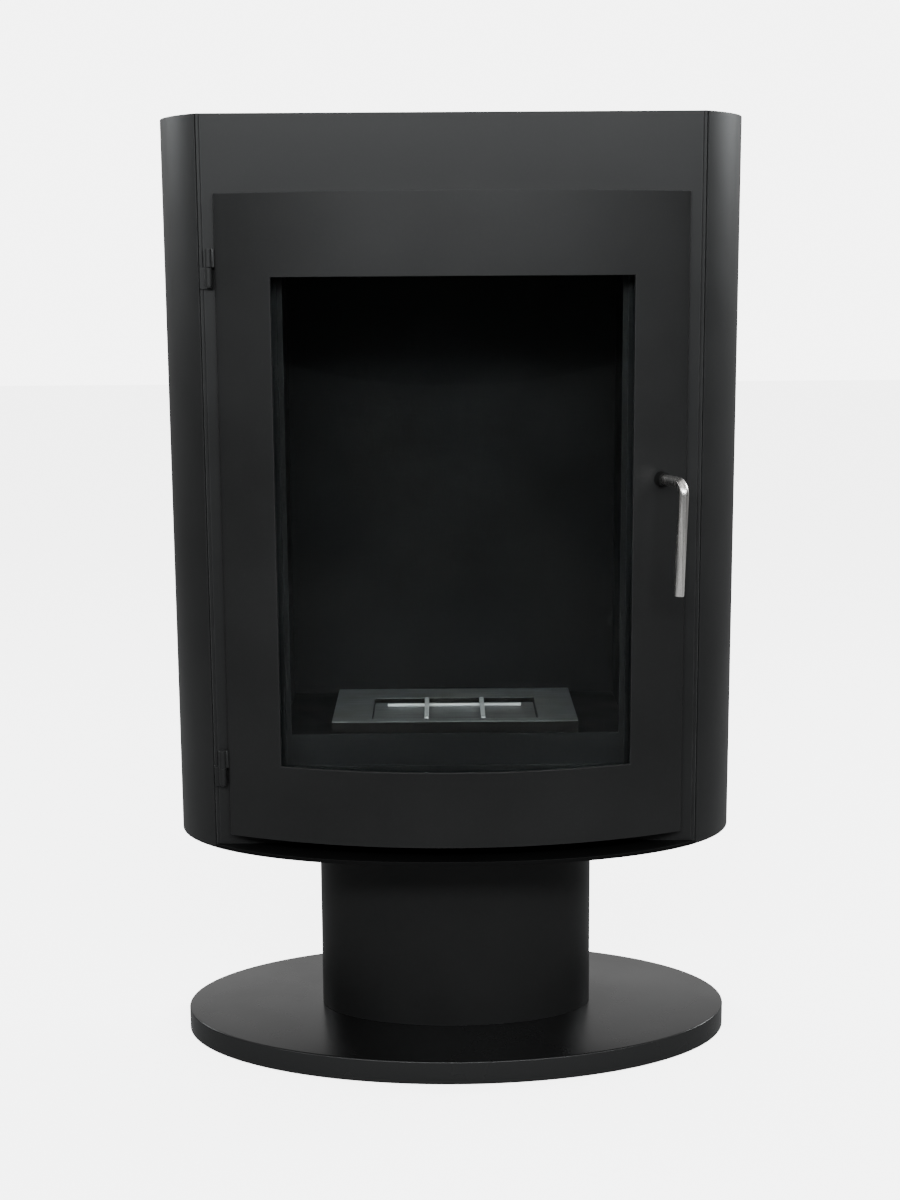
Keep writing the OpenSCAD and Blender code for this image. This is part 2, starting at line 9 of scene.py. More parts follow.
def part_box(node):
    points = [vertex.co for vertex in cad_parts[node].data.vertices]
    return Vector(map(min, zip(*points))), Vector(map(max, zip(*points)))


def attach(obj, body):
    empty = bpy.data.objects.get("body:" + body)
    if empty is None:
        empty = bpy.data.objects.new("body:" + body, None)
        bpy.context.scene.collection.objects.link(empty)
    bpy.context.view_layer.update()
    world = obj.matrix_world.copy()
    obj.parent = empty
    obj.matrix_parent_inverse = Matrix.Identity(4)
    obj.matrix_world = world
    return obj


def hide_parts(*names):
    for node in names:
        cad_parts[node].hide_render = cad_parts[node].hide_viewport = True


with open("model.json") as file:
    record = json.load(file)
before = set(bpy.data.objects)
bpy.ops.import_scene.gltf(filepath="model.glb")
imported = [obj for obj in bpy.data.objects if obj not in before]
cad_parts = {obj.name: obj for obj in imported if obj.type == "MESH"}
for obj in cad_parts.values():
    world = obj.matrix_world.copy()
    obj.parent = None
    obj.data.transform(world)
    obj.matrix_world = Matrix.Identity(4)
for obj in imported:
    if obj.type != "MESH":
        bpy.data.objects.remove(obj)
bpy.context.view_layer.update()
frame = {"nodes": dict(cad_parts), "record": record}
nodes = frame["nodes"]
slotOfNode = {part["node"]: part["material_slot"] for part in frame["record"]["subparts"]}
bodyOfNode = {}
for body, members in frame["record"]["behaviour"]["bodies"].items():
    bodyOfNode.update((node, body) for node in members)
print("frame loaded:", len(nodes), "CAD nodes")

# the camera stands in front of the door at chest height and looks a little down

cameraSetup = {
    "place": (-0.0138, -1.8645, 0.8018),
    "lookDown": 10.17,  # this and the two below in degrees
    "turn": -0.303,
    "roll": -0.368,
    "lens": 54.13,
    "sensorHeight": 36.0,
}


def makeCamera(setup):
    data = bpy.data.cameras.new("camera")
    data.sensor_fit = "VERTICAL"
    data.sensor_height = setup["sensorHeight"]
    data.lens = setup["lens"]
    camera = bpy.data.objects.new("camera", data)
    bpy.context.scene.collection.objects.link(camera)
    aim = Euler((math.radians(90 - setup["lookDown"]), 0, math.radians(setup["turn"]))).to_matrix()
    turned = aim @ Matrix.Rotation(math.radians(setup["roll"]), 3, "Z")
    camera.location = setup["place"]
    camera.rotation_euler = turned.to_euler()
    bpy.context.scene.camera = camera


# node and socket helpers for the materials and the studio

def addNode(tree, kind, inputs=None, **settings):
    node = tree.nodes.new(kind)
    for key, value in settings.items():
        setattr(node, key, value)
    for socket, value in (inputs or {}).items():
        node.inputs[socket].default_value = value
    return node


def grain(tree, scale, detail=3.0, stretch=(1, 1, 1), roughness=0.5):
    place = addNode(tree, "ShaderNodeTexCoord")
    mapping = addNode(tree, "ShaderNodeMapping", {"Scale": stretch})
    noise = addNode(tree, "ShaderNodeTexNoise", {"Scale": scale, "Detail": detail, "Roughness": roughness})
    tree.links.new(place.outputs["Object"], mapping.inputs["Vector"])
    tree.links.new(mapping.outputs["Vector"], noise.inputs["Vector"])
    return noise.outputs["Fac"]


def spread(tree, source, low, high, start=0.3, end=0.7):
    # start to end in the source becomes low to high, and is held there outside them
    ranges = {"From Min": start, "From Max": end, "To Min": low, "To Max": high}
    node = addNode(tree, "ShaderNodeMapRange", ranges)
    tree.links.new(source, node.inputs["Value"])
    return node.outputs["Result"]


def mixColours(tree, share, first, second):
    node = addNode(tree, "ShaderNodeMix", data_type="RGBA")
    tree.links.new(share, node.inputs["Factor"])
    for socket, colour in ((6, first), (7, second)):
        if isinstance(colour, tuple):
            node.inputs[socket].default_value = colour
        else:
            tree.links.new(colour, node.inputs[socket])
    return node.outputs[2]


def combine(tree, first, second, operation):
    node = addNode(tree, "ShaderNodeMath", operation=operation)
    for socket, value in ((0, first), (1, second)):
        if isinstance(value, (int, float)):
            node.inputs[socket].default_value = value
        else:
            tree.links.new(value, node.inputs[socket])
    return node.outputs["Value"]


def grey(value, warmth=0.0):
    return (value * (1 + warmth), value, value * (1 - warmth), 1)


# a pale floor under a soft studio

studio = {
    "floorSize": 24.0,
    "floorColour": grey(0.92),
    "floorBounce": grey(0.17),  # the share that reaches the object, so that black paint stays black
    "floorGlow": 4.2,
    "floorRoughness": 0.8,
    "backgroundStrength": 6.0,  # what the camera sees behind the object
    "roomStrength": 0.05,  # what lies in front of the object
    "wallStrength": 1.4,  # what lies behind it
    "ceilingStrength": 0.95,
    "ceilingFrom": (0.2, 0.65),  # where it starts and where it is full, as are the others
    "wallFrom": (0.1, 0.75),
    "skirting": 0.15,  # how much of the wall's light is left at the floor
    "skirtingFrom": (0.02, 0.3),
    "lampColour": (0.95, 0.985, 1.0),
}

# name: place, aimed at, width, height, watts
softboxes = {
    "front": ((0.0, -2.6, 1.85), (0.0, 0.0, 1.05), 3.6, 0.45, 135),
    "frontLeft": ((-2.3, -1.9, 1.95), (-0.15, -0.1, 1.0), 0.9, 0.45, 14),
    "frontRight": ((2.3, -1.9, 1.95), (0.15, -0.1, 1.0), 0.9, 0.45, 22),
    "left": ((-2.4, 1.1, 1.7), (0.0, 0.0, 0.95), 0.8, 0.7, 38),
    "right": ((2.4, 1.1, 1.7), (0.0, 0.0, 0.95), 0.8, 0.7, 60),
}


def makeFloor(setup):
    bpy.ops.mesh.primitive_plane_add(size=setup["floorSize"])
    floor = bpy.context.object
    floor.name = "floor"
    finish = bpy.data.materials.new("floorPaint")
    finish.use_nodes = True
    tree = finish.node_tree
    shader = tree.nodes["Principled BSDF"]
    shader.inputs["Roughness"].default_value = setup["floorRoughness"]
    rays = addNode(tree, "ShaderNodeLightPath")
    paint = mixColours(tree, rays.outputs["Is Camera Ray"], setup["floorBounce"], setup["floorColour"])
    tree.links.new(paint, shader.inputs["Base Color"])
    shader.inputs["Emission Color"].default_value = grey(1.0)
    glow = combine(tree, rays.outputs["Is Camera Ray"], setup["floorGlow"], "MULTIPLY")
    tree.links.new(glow, shader.inputs["Emission Strength"])
    floor.data.materials.append(finish)


def makeRoom(setup):
    world = bpy.data.worlds.new("room")
    world.use_nodes = True
    tree = world.node_tree
    background = tree.nodes["Background"]
    background.inputs["Color"].default_value = grey(1.0)
    place = addNode(tree, "ShaderNodeTexCoord")
    axes = addNode(tree, "ShaderNodeSeparateXYZ")
    tree.links.new(place.outputs["Generated"], axes.inputs["Vector"])
    behind = spread(tree, axes.outputs["Y"], 0, 1, *setup["wallFrom"])
    above = spread(tree, axes.outputs["Z"], setup["skirting"], 1, *setup["skirtingFrom"])
    wallShare = combine(tree, behind, above, "MULTIPLY")
    wall = spread(tree, wallShare, setup["roomStrength"], setup["wallStrength"], 0, 1)
    ceiling = spread(tree, axes.outputs["Z"], 0, setup["ceilingStrength"], *setup["ceilingFrom"])
    room = combine(tree, wall, ceiling, "MAXIMUM")
    rays = addNode(tree, "ShaderNodeLightPath")
    seen = addNode(tree, "ShaderNodeMix", data_type="FLOAT")
    tree.links.new(rays.outputs["Is Camera Ray"], seen.inputs["Factor"])
    tree.links.new(room, seen.inputs[2])
    seen.inputs[3].default_value = setup["backgroundStrength"]
    tree.links.new(seen.outputs[0], background.inputs["Strength"])
    bpy.context.scene.world = world


def makeLamps(boxes, colour):
    for name, (place, target, width, height, watts) in boxes.items():
        data = bpy.data.lights.new(name, "AREA")
        data.shape = "RECTANGLE"
        data.size = width
        data.size_y = height
        data.energy = watts
        data.color = colour
        lamp = bpy.data.objects.new(name, data)
        lamp.location = place
        lamp.rotation_euler = (Vector(target) - Vector(place)).to_track_quat("-Z", "Y").to_euler()
        bpy.context.scene.collection.objects.link(lamp)


makeCamera(cameraSetup)
makeFloor(studio)
makeRoom(studio)
makeLamps(softboxes, studio["lampColour"])
print("camera, floor and lamps ready")

# finishes, one function for each kind of surface


def startFinish(name, **constants):
    material = bpy.data.materials.new(name)
    material.use_nodes = True
    shader = material.node_tree.nodes["Principled BSDF"]
    for socket, value in constants.items():
        shader.inputs[socket.replace("_", " ")].default_value = value
    return material, material.node_tree, shader


def roughen(tree, shader, source, strength, depth):
    bump = addNode(tree, "ShaderNodeBump", {"Strength": strength, "Distance": depth})
    tree.links.new(source, bump.inputs["Height"])
    tree.links.new(bump.outputs["Normal"], shader.inputs["Normal"])


def edgeShare(tree, look):
    # 0 on flat stretches and 1 where the surface turns within the edge's width
    rounded = addNode(tree, "ShaderNodeBevel", {"Radius": look["edgeWidth"]}, samples=look["edgeSamples"])
    shape = addNode(tree, "ShaderNodeNewGeometry")
    facing = addNode(tree, "ShaderNodeVectorMath", operation="DOT_PRODUCT")
    tree.links.new(rounded.outputs["Normal"], facing.inputs[0])
    tree.links.new(shape.outputs["Normal"], facing.inputs[1])
    return spread(tree, facing.outputs["Value"], 1.0, 0.0, *look["edgeFrom"])


coat = {
    "deep": grey(0.0055),
    "dusty": grey(0.0105),
    "rubbed": grey(0.030),
    "gloss": (0.38, 0.46),
    "shine": 0.24,
    "clouds": 4.0,  # how fine each pattern is, from the widest to the finest
    "glossPatches": 11.0,
    "wear": 60.0,
    "specks": 420.0,
    "peel": 900.0,
    "speckShare": 0.35,
    "speckFrom": (0.5, 0.8),
    "peelStrength": 0.3,
    "peelDepth": 0.00006,
    "edgeWidth": 0.0016,
    "edgeFrom": (0.86, 0.995),
    "edgeSamples": 6,
}
# painted shade: the base's coat is a darker copy of the body's coat, for the shade under the stove, with
# painted light on its upright rim
baseCoat = dict(
    coat, deep=grey(0.0014), dusty=grey(0.003), gloss=(0.22, 0.30), shine=0.21,
    cutEdge=grey(0.014), cutEdgeFrom=(0.2, 0.8),
)
# painted shade: a darker copy of the body's coat for the column, which stands in the stove's shade
columnCoat = dict(coat, deep=grey(0.0036), dusty=grey(0.0075))
# painted shade: a darker, duller copy of the body's coat for the body floor's front lip, which lies in the
# door's shade
underCoat = dict(
    coat, deep=grey(0.0008), dusty=grey(0.0016), rubbed=grey(0.003), gloss=(0.5, 0.6), shine=0.10,
)


def powderCoat(name, look):
    material, tree, shader = startFinish(name, Specular_IOR_Level=look["shine"])
    clouds = spread(tree, grain(tree, look["clouds"], detail=5.0), 0, 1)
    specks = spread(tree, grain(tree, look["specks"], detail=2.0), 0, look["speckShare"], *look["speckFrom"])
    dusty = combine(tree, clouds, specks, "ADD")
    body = mixColours(tree, dusty, look["deep"], look["dusty"])
    if "cutEdge" in look:
        # painted light: upright faces, such as the base's rim, are painted lighter than the top, for the
        # light that falls on them
        shape = addNode(tree, "ShaderNodeNewGeometry")
        axes = addNode(tree, "ShaderNodeSeparateXYZ")
        tree.links.new(shape.outputs["Normal"], axes.inputs["Vector"])
        rimLight = spread(tree, axes.outputs["Z"], 1, 0, *look["cutEdgeFrom"])
        body = mixColours(tree, rimLight, body, look["cutEdge"])
    worn = combine(tree, edgeShare(tree, look), grain(tree, look["wear"], detail=4.0), "MULTIPLY")
    tree.links.new(mixColours(tree, worn, body, look["rubbed"]), shader.inputs["Base Color"])
    gloss = spread(tree, grain(tree, look["glossPatches"], detail=6.0), *look["gloss"])
    tree.links.new(gloss, shader.inputs["Roughness"])
    roughen(tree, shader, grain(tree, look["peel"], detail=2.0), look["peelStrength"], look["peelDepth"])
    return material


def heatStained(name, look):
    # matt paint, browned and chalky in patches by heat
    material, tree, shader = startFinish(name, Specular_IOR_Level=look["shine"])
    patches = spread(tree, grain(tree, look["patches"], detail=6.0), 0, 1, *look["patchFrom"])
    tree.links.new(mixColours(tree, patches, look["paint"], look["stain"]), shader.inputs["Base Color"])
    gloss = spread(tree, grain(tree, look["glossPatches"], detail=4.0), *look["gloss"])
    tree.links.new(gloss, shader.inputs["Roughness"])
    roughen(tree, shader, grain(tree, look["pits"], detail=2.0), look["pitStrength"], look["pitDepth"])
    return material


def paintShadeBelow(tree, clean, look):
    # painted shade, with some lamp black, darkens what lies under a height
    place = addNode(tree, "ShaderNodeTexCoord")
    axes = addNode(tree, "ShaderNodeSeparateXYZ")
    tree.links.new(place.outputs["Object"], axes.inputs["Vector"])
    height = look["sootBelow"]
    share = spread(tree, axes.outputs["Z"], 1, 0, height - look["sootFade"], height)
    return mixColours(tree, share, clean, look["soot"])


def brushedSteel(name, look):
    material, tree, shader = startFinish(name, Metallic=look["metal"])
    lines = grain(tree, look["lines"], detail=3.0, stretch=look["along"], roughness=0.6)
    smears = grain(tree, look["smears"], detail=4.0)
    body = mixColours(tree, spread(tree, lines, 0, 1, *look["lineFrom"]), look["dark"], look["bright"])
    smeared = spread(tree, smears, 0, look["smearShare"], *look["smearFrom"])
    handled = mixColours(tree, smeared, body, look["stain"])
    if "sootBelow" in look:
        handled = paintShadeBelow(tree, handled, look)
    tree.links.new(handled, shader.inputs["Base Color"])
    both = combine(tree, lines, smears, "MULTIPLY")
    tree.links.new(spread(tree, both, *look["gloss"], *look["glossFrom"]), shader.inputs["Roughness"])
    roughen(tree, shader, lines, look["scratchStrength"], look["scratchDepth"])
    return material


def softStuff(name, look):
    material, tree, shader = startFinish(name, Roughness=look["roughness"], Specular_IOR_Level=look["shine"])
    fibres = grain(tree, look["fibres"], detail=5.0, stretch=look["along"])
    shade = mixColours(tree, spread(tree, fibres, 0, 1), look["dark"], look["pale"])
    soiled = spread(tree, grain(tree, look["patches"], detail=3.0), 0, look["soil"], *look["soilFrom"])
    tree.links.new(mixColours(tree, soiled, shade, look["dirt"]), shader.inputs["Base Color"])
    roughen(tree, shader, fibres, look["fibreStrength"], look["fibreDepth"])
    return material


def stoveGlass(name, look):
    # clear for the lamps, so that they light the firebox behind it
    material, tree, shader = startFinish(name, IOR=look["index"], Transmission_Weight=1.0, Roughness=0.0)
    veil = spread(tree, grain(tree, look["smears"], detail=4.0), 0, 1, *look["smearFrom"])
    tree.links.new(mixColours(tree, veil, look["tint"], look["film"]), shader.inputs["Base Color"])
    rays = addNode(tree, "ShaderNodeLightPath")
    clear = addNode(tree, "ShaderNodeBsdfTransparent", {"Color": look["tint"]})
    either = addNode(tree, "ShaderNodeMixShader")
    tree.links.new(rays.outputs["Is Shadow Ray"], either.inputs["Fac"])
    tree.links.new(shader.outputs["BSDF"], either.inputs[1])
    tree.links.new(clear.outputs["BSDF"], either.inputs[2])
    tree.links.new(either.outputs["Shader"], tree.nodes["Material Output"].inputs["Surface"])
    return material


linerPaint = {
    "paint": grey(0.0025),
    "stain": grey(0.006, 0.12),
    "gloss": (0.55, 0.75),
    "shine": 0.16,
    "patches": 7.0,
    "patchFrom": (0.42, 0.72),
    "glossPatches": 18.0,
    "pits": 1100.0,
    "pitStrength": 0.15,
    "pitDepth": 0.00001,
}
castIron = dict(linerPaint, paint=grey(0.035), stain=grey(0.07, 0.1), gloss=(0.65, 0.85))

upright = (1, 1, 0.03)
sideways = (0.03, 1, 1)
steel = {
    "metal": 1.0,
    "lineFrom": (0.35, 0.65),
    "smears": 16.0,
    "smearShare": 0.5,
    "smearFrom": (0.45, 0.75),
    "glossFrom": (0.1, 0.4),
    "scratchStrength": 0.25,
    "scratchDepth": 0.00003,
}
millSteel = dict(
    steel, dark=grey(0.26), bright=grey(0.42), stain=grey(0.22, 0.1),
    lines=260.0, along=upright, gloss=(0.38, 0.6),
)
zincPlate = dict(
    steel, dark=grey(0.46), bright=grey(0.62), stain=grey(0.5, 0.12),
    lines=500.0, along=(1, 1, 1), gloss=(0.25, 0.42),
)
handleSteel = dict(
    steel, dark=grey(0.42, 0.02), bright=grey(0.97, 0.04), stain=grey(0.62, 0.05),
    lines=560.0, along=(1, 1, 0.012), gloss=(0.20, 0.34),
)
lidSteel = dict(
    steel, dark=grey(0.19), bright=grey(0.36), stain=grey(0.14, 0.14),
    lines=500.0, along=sideways, gloss=(0.45, 0.62), metal=0.88,
)
# painted shade, with some lamp black, darkens the burner plate's skirt and rounded front edge below its top
burnerSteel = dict(
    lidSteel, dark=grey(0.25), bright=grey(0.40), stain=grey(0.22, 0.14), gloss=(0.40, 0.56),
    soot=grey(0.010, 0.1), sootFade=0.0006, cleanTop=0.0001,
)
burnerSteel["sootBelow"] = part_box("burner_top_plate")[1].z - burnerSteel["cleanTop"]
trimSteel = dict(
    steel, dark=grey(0.66), bright=grey(0.92), stain=grey(0.7, 0.05),
    lines=600.0, along=sideways, gloss=(0.22, 0.38), metal=0.3,
)

fibrous = {
    "roughness": 0.95,
    "shine": 0.2,
    "along": (1, 1, 1),
    "patches": 30.0,
    "soilFrom": (0.45, 0.75),
    "dirt": grey(0.02),
    "fibreStrength": 0.6,
}
felt = dict(fibrous, dark=grey(0.008), pale=grey(0.03), fibres=900.0, soil=0.5, fibreDepth=0.0004)
rope = dict(fibrous, dark=grey(0.015), pale=grey(0.05), fibres=700.0, soil=0.6, fibreDepth=0.0005)
fibreWick = dict(
    fibrous, dark=grey(0.45, 0.04), pale=grey(0.72, 0.03), fibres=500.0, along=(1, 1, 2.5),
    soil=0.5, fibreDepth=0.0007,
)
clearGlass = {
    # far greyer than clear glass: painted shade on the firebox seen through it
    "tint": (0.66, 0.69, 0.69, 1),
    "film": (0.56, 0.58, 0.57, 1),
    "index": 1.2,  # lower than real glass, so that it mirrors less
    "smears": 9.0,
    "smearFrom": (0.45, 0.8),
}

finishes = {
    "black_steel": powderCoat("powderCoat", coat),
    "base": powderCoat("baseCoat", baseCoat),
    "column": powderCoat("columnCoat", columnCoat),
    "underside": powderCoat("underCoat", underCoat),
    "liner_steel": heatStained("linerPaint", linerPaint),
    "plain_steel": brushedSteel("millSteel", millSteel),
    "fasteners": brushedSteel("zincPlate", zincPlate),
    "ballast": heatStained("castIron", castIron),
    "floor_pad": softStuff("padFelt", felt),
    "door_glass": stoveGlass("stoveGlass", clearGlass),
    "gasket": softStuff("glassRope", rope),
    "escutcheon": heatStained("escutcheonPaint", linerPaint),
    "handle_steel": brushedSteel("handleSteel", handleSteel),
    "burner_steel": brushedSteel("burnerSteel", burnerSteel),
    "burner_bright": brushedSteel("trimSteel", trimSteel),
    "lid": brushedSteel("lidSteel", lidSteel),
    "wick": softStuff("fibreWick", fibreWick),
}
for nodeName, cadObject in nodes.items():
    cadObject.data.materials.clear()
    cadObject.data.materials.append(finishes[slotOfNode[nodeName]])
print("finishes ready:", len(finishes))

# what every new piece goes through

meshing = {
    "mergeWithin": 0.000002,
    "cutWithin": 0.000001,
    "sameWithin": 0.00001,
    "sharpAngle": 35,  # degrees between faces, past which an edge shows
    "flatAngle": 0.05,  # degrees, under which two faces are one
    "levelNormal": 0.9,  # how far up or down a level face points
}


def pointOutwards(mesh, inside):
    # an open sheet has no inside of its own, so one point behind it decides
    bmesh.ops.remove_doubles(mesh, verts=mesh.verts, dist=meshing["mergeWithin"])
    bmesh.ops.recalc_face_normals(mesh, faces=mesh.faces)
    if inside is None:
        return
    middle = Vector(inside)
    outward = 0
    for face in mesh.faces:
        outward += face.calc_area() * face.normal.dot(face.calc_center_median() - middle)
    if outward < 0:
        bmesh.ops.reverse_faces(mesh, faces=mesh.faces)


def keepPiece(name, mesh, replaced, look, inside=None):
    pointOutwards(mesh, inside)
    data = bpy.data.meshes.new(name)
    mesh.to_mesh(data)
    mesh.free()
    data.shade_smooth()
    sharpAngle = math.radians(meshing["sharpAngle"])
    data.set_sharp_from_angle(angle=sharpAngle)
    piece = bpy.data.objects.new(name, data)
    bpy.context.scene.collection.objects.link(piece)
    if look.get("wall"):
        wall = piece.modifiers.new("wall", "SOLIDIFY")
        wall.thickness = look["wall"]
        wall.offset = -1
        wall.use_even_offset = True
    if look.get("rounding"):
        edges = piece.modifiers.new("edges", "BEVEL")
        edges.width = look["rounding"]
        edges.segments = look["segments"]
        edges.limit_method = "ANGLE"
        edges.angle_limit = sharpAngle
        edges.harden_normals = True
    slot = slotOfNode[replaced[0]]
    data.materials.append(finishes[look.get("finish", slot)])
    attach(piece, bodyOfNode[replaced[0]])
    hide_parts(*replaced)


def cutAcross(mesh, place, normal):
    everything = mesh.verts[:] + mesh.edges[:] + mesh.faces[:]
    bmesh.ops.bisect_plane(mesh, geom=everything, plane_co=place, plane_no=normal, dist=meshing["cutWithin"])


def cutWindow(mesh, left, right, low, high):
    # opens a rectangle in an upright sheet
    for x in (left, right):
        cutAcross(mesh, (x, 0, 0), (1, 0, 0))
    for z in (low, high):
        cutAcross(mesh, (0, 0, z), (0, 0, 1))
    waste = []
    for face in mesh.faces:
        middle = face.calc_center_median()
        if left < middle.x < right and low < middle.z < high:
            waste.append(face)
    bmesh.ops.delete(mesh, geom=waste, context="FACES")


def ofKind(items, kind):
    return [item for item in items if isinstance(item, kind)]


def extrudeEdges(mesh, edges, move):
    made = bmesh.ops.extrude_edge_only(mesh, edges=edges)["geom"]
    bmesh.ops.translate(mesh, vec=move, verts=ofKind(made, bmesh.types.BMVert))
    return ofKind(made, bmesh.types.BMEdge)


def roundEdges(mesh, edges, radius, segments=4):
    bmesh.ops.bevel(mesh, geom=edges, offset=radius, segments=segments, profile=0.5,
                    affect="EDGES", material=-1)


def closeEnds(mesh):
    rims = [edge for edge in mesh.edges if edge.is_boundary]
    bmesh.ops.holes_fill(mesh, edges=rims, sides=0)


def turnAbout(mesh, axis, degrees, verts):
    turned = Matrix.Rotation(math.radians(degrees), 3, axis)
    bmesh.ops.rotate(mesh, cent=(0, 0, 0), matrix=turned, verts=verts)


def endEdges(mesh, halfWidth):
    # the edges that run along the left and right ends of a sheet
    ends = {vert for vert in mesh.verts if abs(abs(vert.co.x) - halfWidth) < meshing["sameWithin"]}
    return [edge for edge in mesh.edges if ends.issuperset(edge.verts)]


def ovalLoop(mesh, halfWidth, halfDepth, height, segments, filled=False):
    made = bmesh.ops.create_circle(mesh, cap_ends=filled, segments=segments, radius=1.0)
    bmesh.ops.scale(mesh, vec=(halfWidth, halfDepth, 1), verts=made["verts"])
    bmesh.ops.translate(mesh, vec=(0, 0, height), verts=made["verts"])
    return [edge for edge in mesh.edges if all(vert in made["verts"] for vert in edge.verts)]


# base and pedestal

baseLook = {"finish": "base", "wall": 0.0025, "rounding": 0.0004, "rim": 0.0018, "segments": 2, "sides": 200}


def makeBaseCover(look):
    low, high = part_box("base_cover")
    mesh = bmesh.new()
    rim = ovalLoop(mesh, high.x, high.y, high.z, look["sides"], filled=True)
    extrudeEdges(mesh, rim, (0, 0, low.z - high.z))
    roundEdges(mesh, rim, look["rim"])
    keepPiece("baseCover", mesh, ["base_cover"], look, inside=(0, 0, 0))


columnLook = {"finish": "column", "wall": 0.003, "rounding": 0.0004, "segments": 2, "sides": 160}


def makeColumn(look):
    low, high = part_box("pedestal_column")
    mesh = bmesh.new()
    foot = ovalLoop(mesh, high.x, high.y, low.z, look["sides"])
    extrudeEdges(mesh, foot, (0, 0, high.z - low.z))
    keepPiece("pedestalColumn", mesh, ["pedestal_column"], look, inside=(0, 0, low.z))


makeBaseCover(baseLook)
makeColumn(columnLook)
print("base and pedestal made")

# casing

casing = {
    "squareness": 2.2,  # 2 would be an ellipse
    "halfDepth": -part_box("body_floor")[0].y,
    "steps": 72,
}
shellLook = {"wall": 0.0025, "rounding": 0.0007, "segments": 3}


def makeSideShell(name, node, plan, look):
    low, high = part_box(node)
    side = 1 if high.x > 0 else -1
    halfWidth = max(high.x, -low.x)
    power = plan["squareness"]
    first, last = (math.asin((y / plan["halfDepth"]) ** (power / 2)) for y in (-low.y, high.y))
    mesh = bmesh.new()
    foot = []
    for step in range(plan["steps"] + 1):
        turn = -first + (first + last) * step / plan["steps"]
        across = halfWidth * math.cos(turn) ** (2 / power)
        along = math.copysign(plan["halfDepth"] * abs(math.sin(turn)) ** (2 / power), turn)
        foot.append(mesh.verts.new((side * across, along, low.z)))
    edges = [mesh.edges.new(pair) for pair in zip(foot, foot[1:])]
    extrudeEdges(mesh, edges, (0, 0, high.z - low.z))
    keepPiece(name, mesh, [node], look, inside=(0, 0, low.z))


fasciaLook = {
    "wall": 0.003,
    "rounding": 0.0004,
    "segments": 2,
    "fold": 0.0009,
    "tuck": (0.0016, 0.0018),  # the folded sides start this far in and back
    "opening": (-0.165, 0.165, 0.347, 0.802),
    "latchSlot": (0.1824, 0.216, 0.597, 0.615),
    "inside": (0, 0, 0.6),  # a point behind the sheet
}


def makeFascia(look):
    low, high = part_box("front_fascia")
    halfWidth = high.x
    height = high.z - low.z
    mesh = bmesh.new()
    made = bmesh.ops.create_grid(mesh, x_segments=1, y_segments=1, size=0.5)
    bmesh.ops.scale(mesh, vec=(2 * halfWidth, height, 1), verts=made["verts"])
    turnAbout(mesh, "X", 90, made["verts"])
    bmesh.ops.translate(mesh, vec=(0, low.y, low.z + height / 2), verts=made["verts"])
    cutWindow(mesh, *look["opening"])
    cutWindow(mesh, *look["latchSlot"])
    sides = endEdges(mesh, halfWidth)
    tuckIn, tuckBack = look["tuck"]
    for side in (-1, 1):
        edges = [edge for edge in sides if edge.verts[0].co.x * side > 0]
        folded = extrudeEdges(mesh, edges, (-side * tuckIn, tuckBack, 0))
        extrudeEdges(mesh, folded, (0, high.y - low.y - tuckBack, 0))
    roundEdges(mesh, sides, look["fold"])
    keepPiece("frontFascia", mesh, ["front_fascia"], look, inside=look["inside"])


makeSideShell("rightSideShell", "right_side_shell", casing, shellLook)
makeSideShell("leftSideShell", "left_side_shell", casing, shellLook)
makeFascia(fasciaLook)
print("casing made")

# door: a sheet swept round the bow's axis, with its window cut out

bow = {"radius": 0.540, "steps": 60}
bow["axisY"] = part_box("door_panel")[0].y + bow["radius"]
bow["inside"] = (0, 0, 0.56)  # a point behind the sheets

doorLook = {
    "wall": 0.003,
    "rounding": 0.0005,
    "segments": 3,
    "fold": 0.0022,
    "glassMargin": 0.012,  # how far the glass reaches past the window
}
glassLook = {"rounding": 0.0006, "segments": 2, "thickness": 0.004, "setBack": 0.0045}


def sweepSheet(mesh, radius, halfWidth, heights):
    reach = math.asin(halfWidth / radius)
    start = Vector((-halfWidth, bow["axisY"] - radius * math.cos(reach), 0))
    column = [mesh.verts.new(start + Vector((0, 0, height))) for height in heights]
    edges = [mesh.edges.new(pair) for pair in zip(column, column[1:])]
    bmesh.ops.spin(mesh, geom=column + edges, cent=(0, bow["axisY"], 0), axis=(0, 0, 1),
                   angle=2 * reach, steps=bow["steps"], use_merge=False, use_duplicate=False)


def makeDoorPanel(look):
    low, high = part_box("door_panel")
    glassLow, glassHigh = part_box("door_glass")
    margin = look["glassMargin"]
    half = glassHigh.x - margin
    mesh = bmesh.new()
    sweepSheet(mesh, bow["radius"], high.x, (low.z, high.z))
    cutWindow(mesh, -half, half, glassLow.z + margin, glassHigh.z - margin)
    sides = endEdges(mesh, high.x)
    depth = high.y - sides[0].verts[0].co.y
    extrudeEdges(mesh, sides, (0, depth, 0))
    roundEdges(mesh, sides, look["fold"])
    keepPiece("doorPanel", mesh, ["door_panel"], look, inside=bow["inside"])


def makeGlass(look):
    low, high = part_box("door_glass")
    mesh = bmesh.new()
    sweepSheet(mesh, bow["radius"] - look["setBack"], high.x, (low.z, high.z))
    pointOutwards(mesh, bow["inside"])
    bmesh.ops.solidify(mesh, geom=mesh.faces[:], thickness=look["thickness"])
    keepPiece("doorGlass", mesh, ["door_glass"], look)


makeDoorPanel(doorLook)
makeGlass(glassLook)
print("door made")

# handle

handleLook = {
    "radius": 0.005,
    "threadRadius": 0.004,
    "threadLength": 0.009,
    "behindDoor": 0.0285,
    "bend": 0.012,
    "reach": 0.045,
    "sides": 48,
    "bendSteps": 20,
    "endRounding": 0.0009,
    "turn": 22.0,  # degrees round the bow
    "lean": 2.0,  # degrees that the bar leans to the hinge side as it hangs
}


def doorHeightOfHandle():
    low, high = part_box("handle_escutcheon")
    return (low.z + high.z) / 2


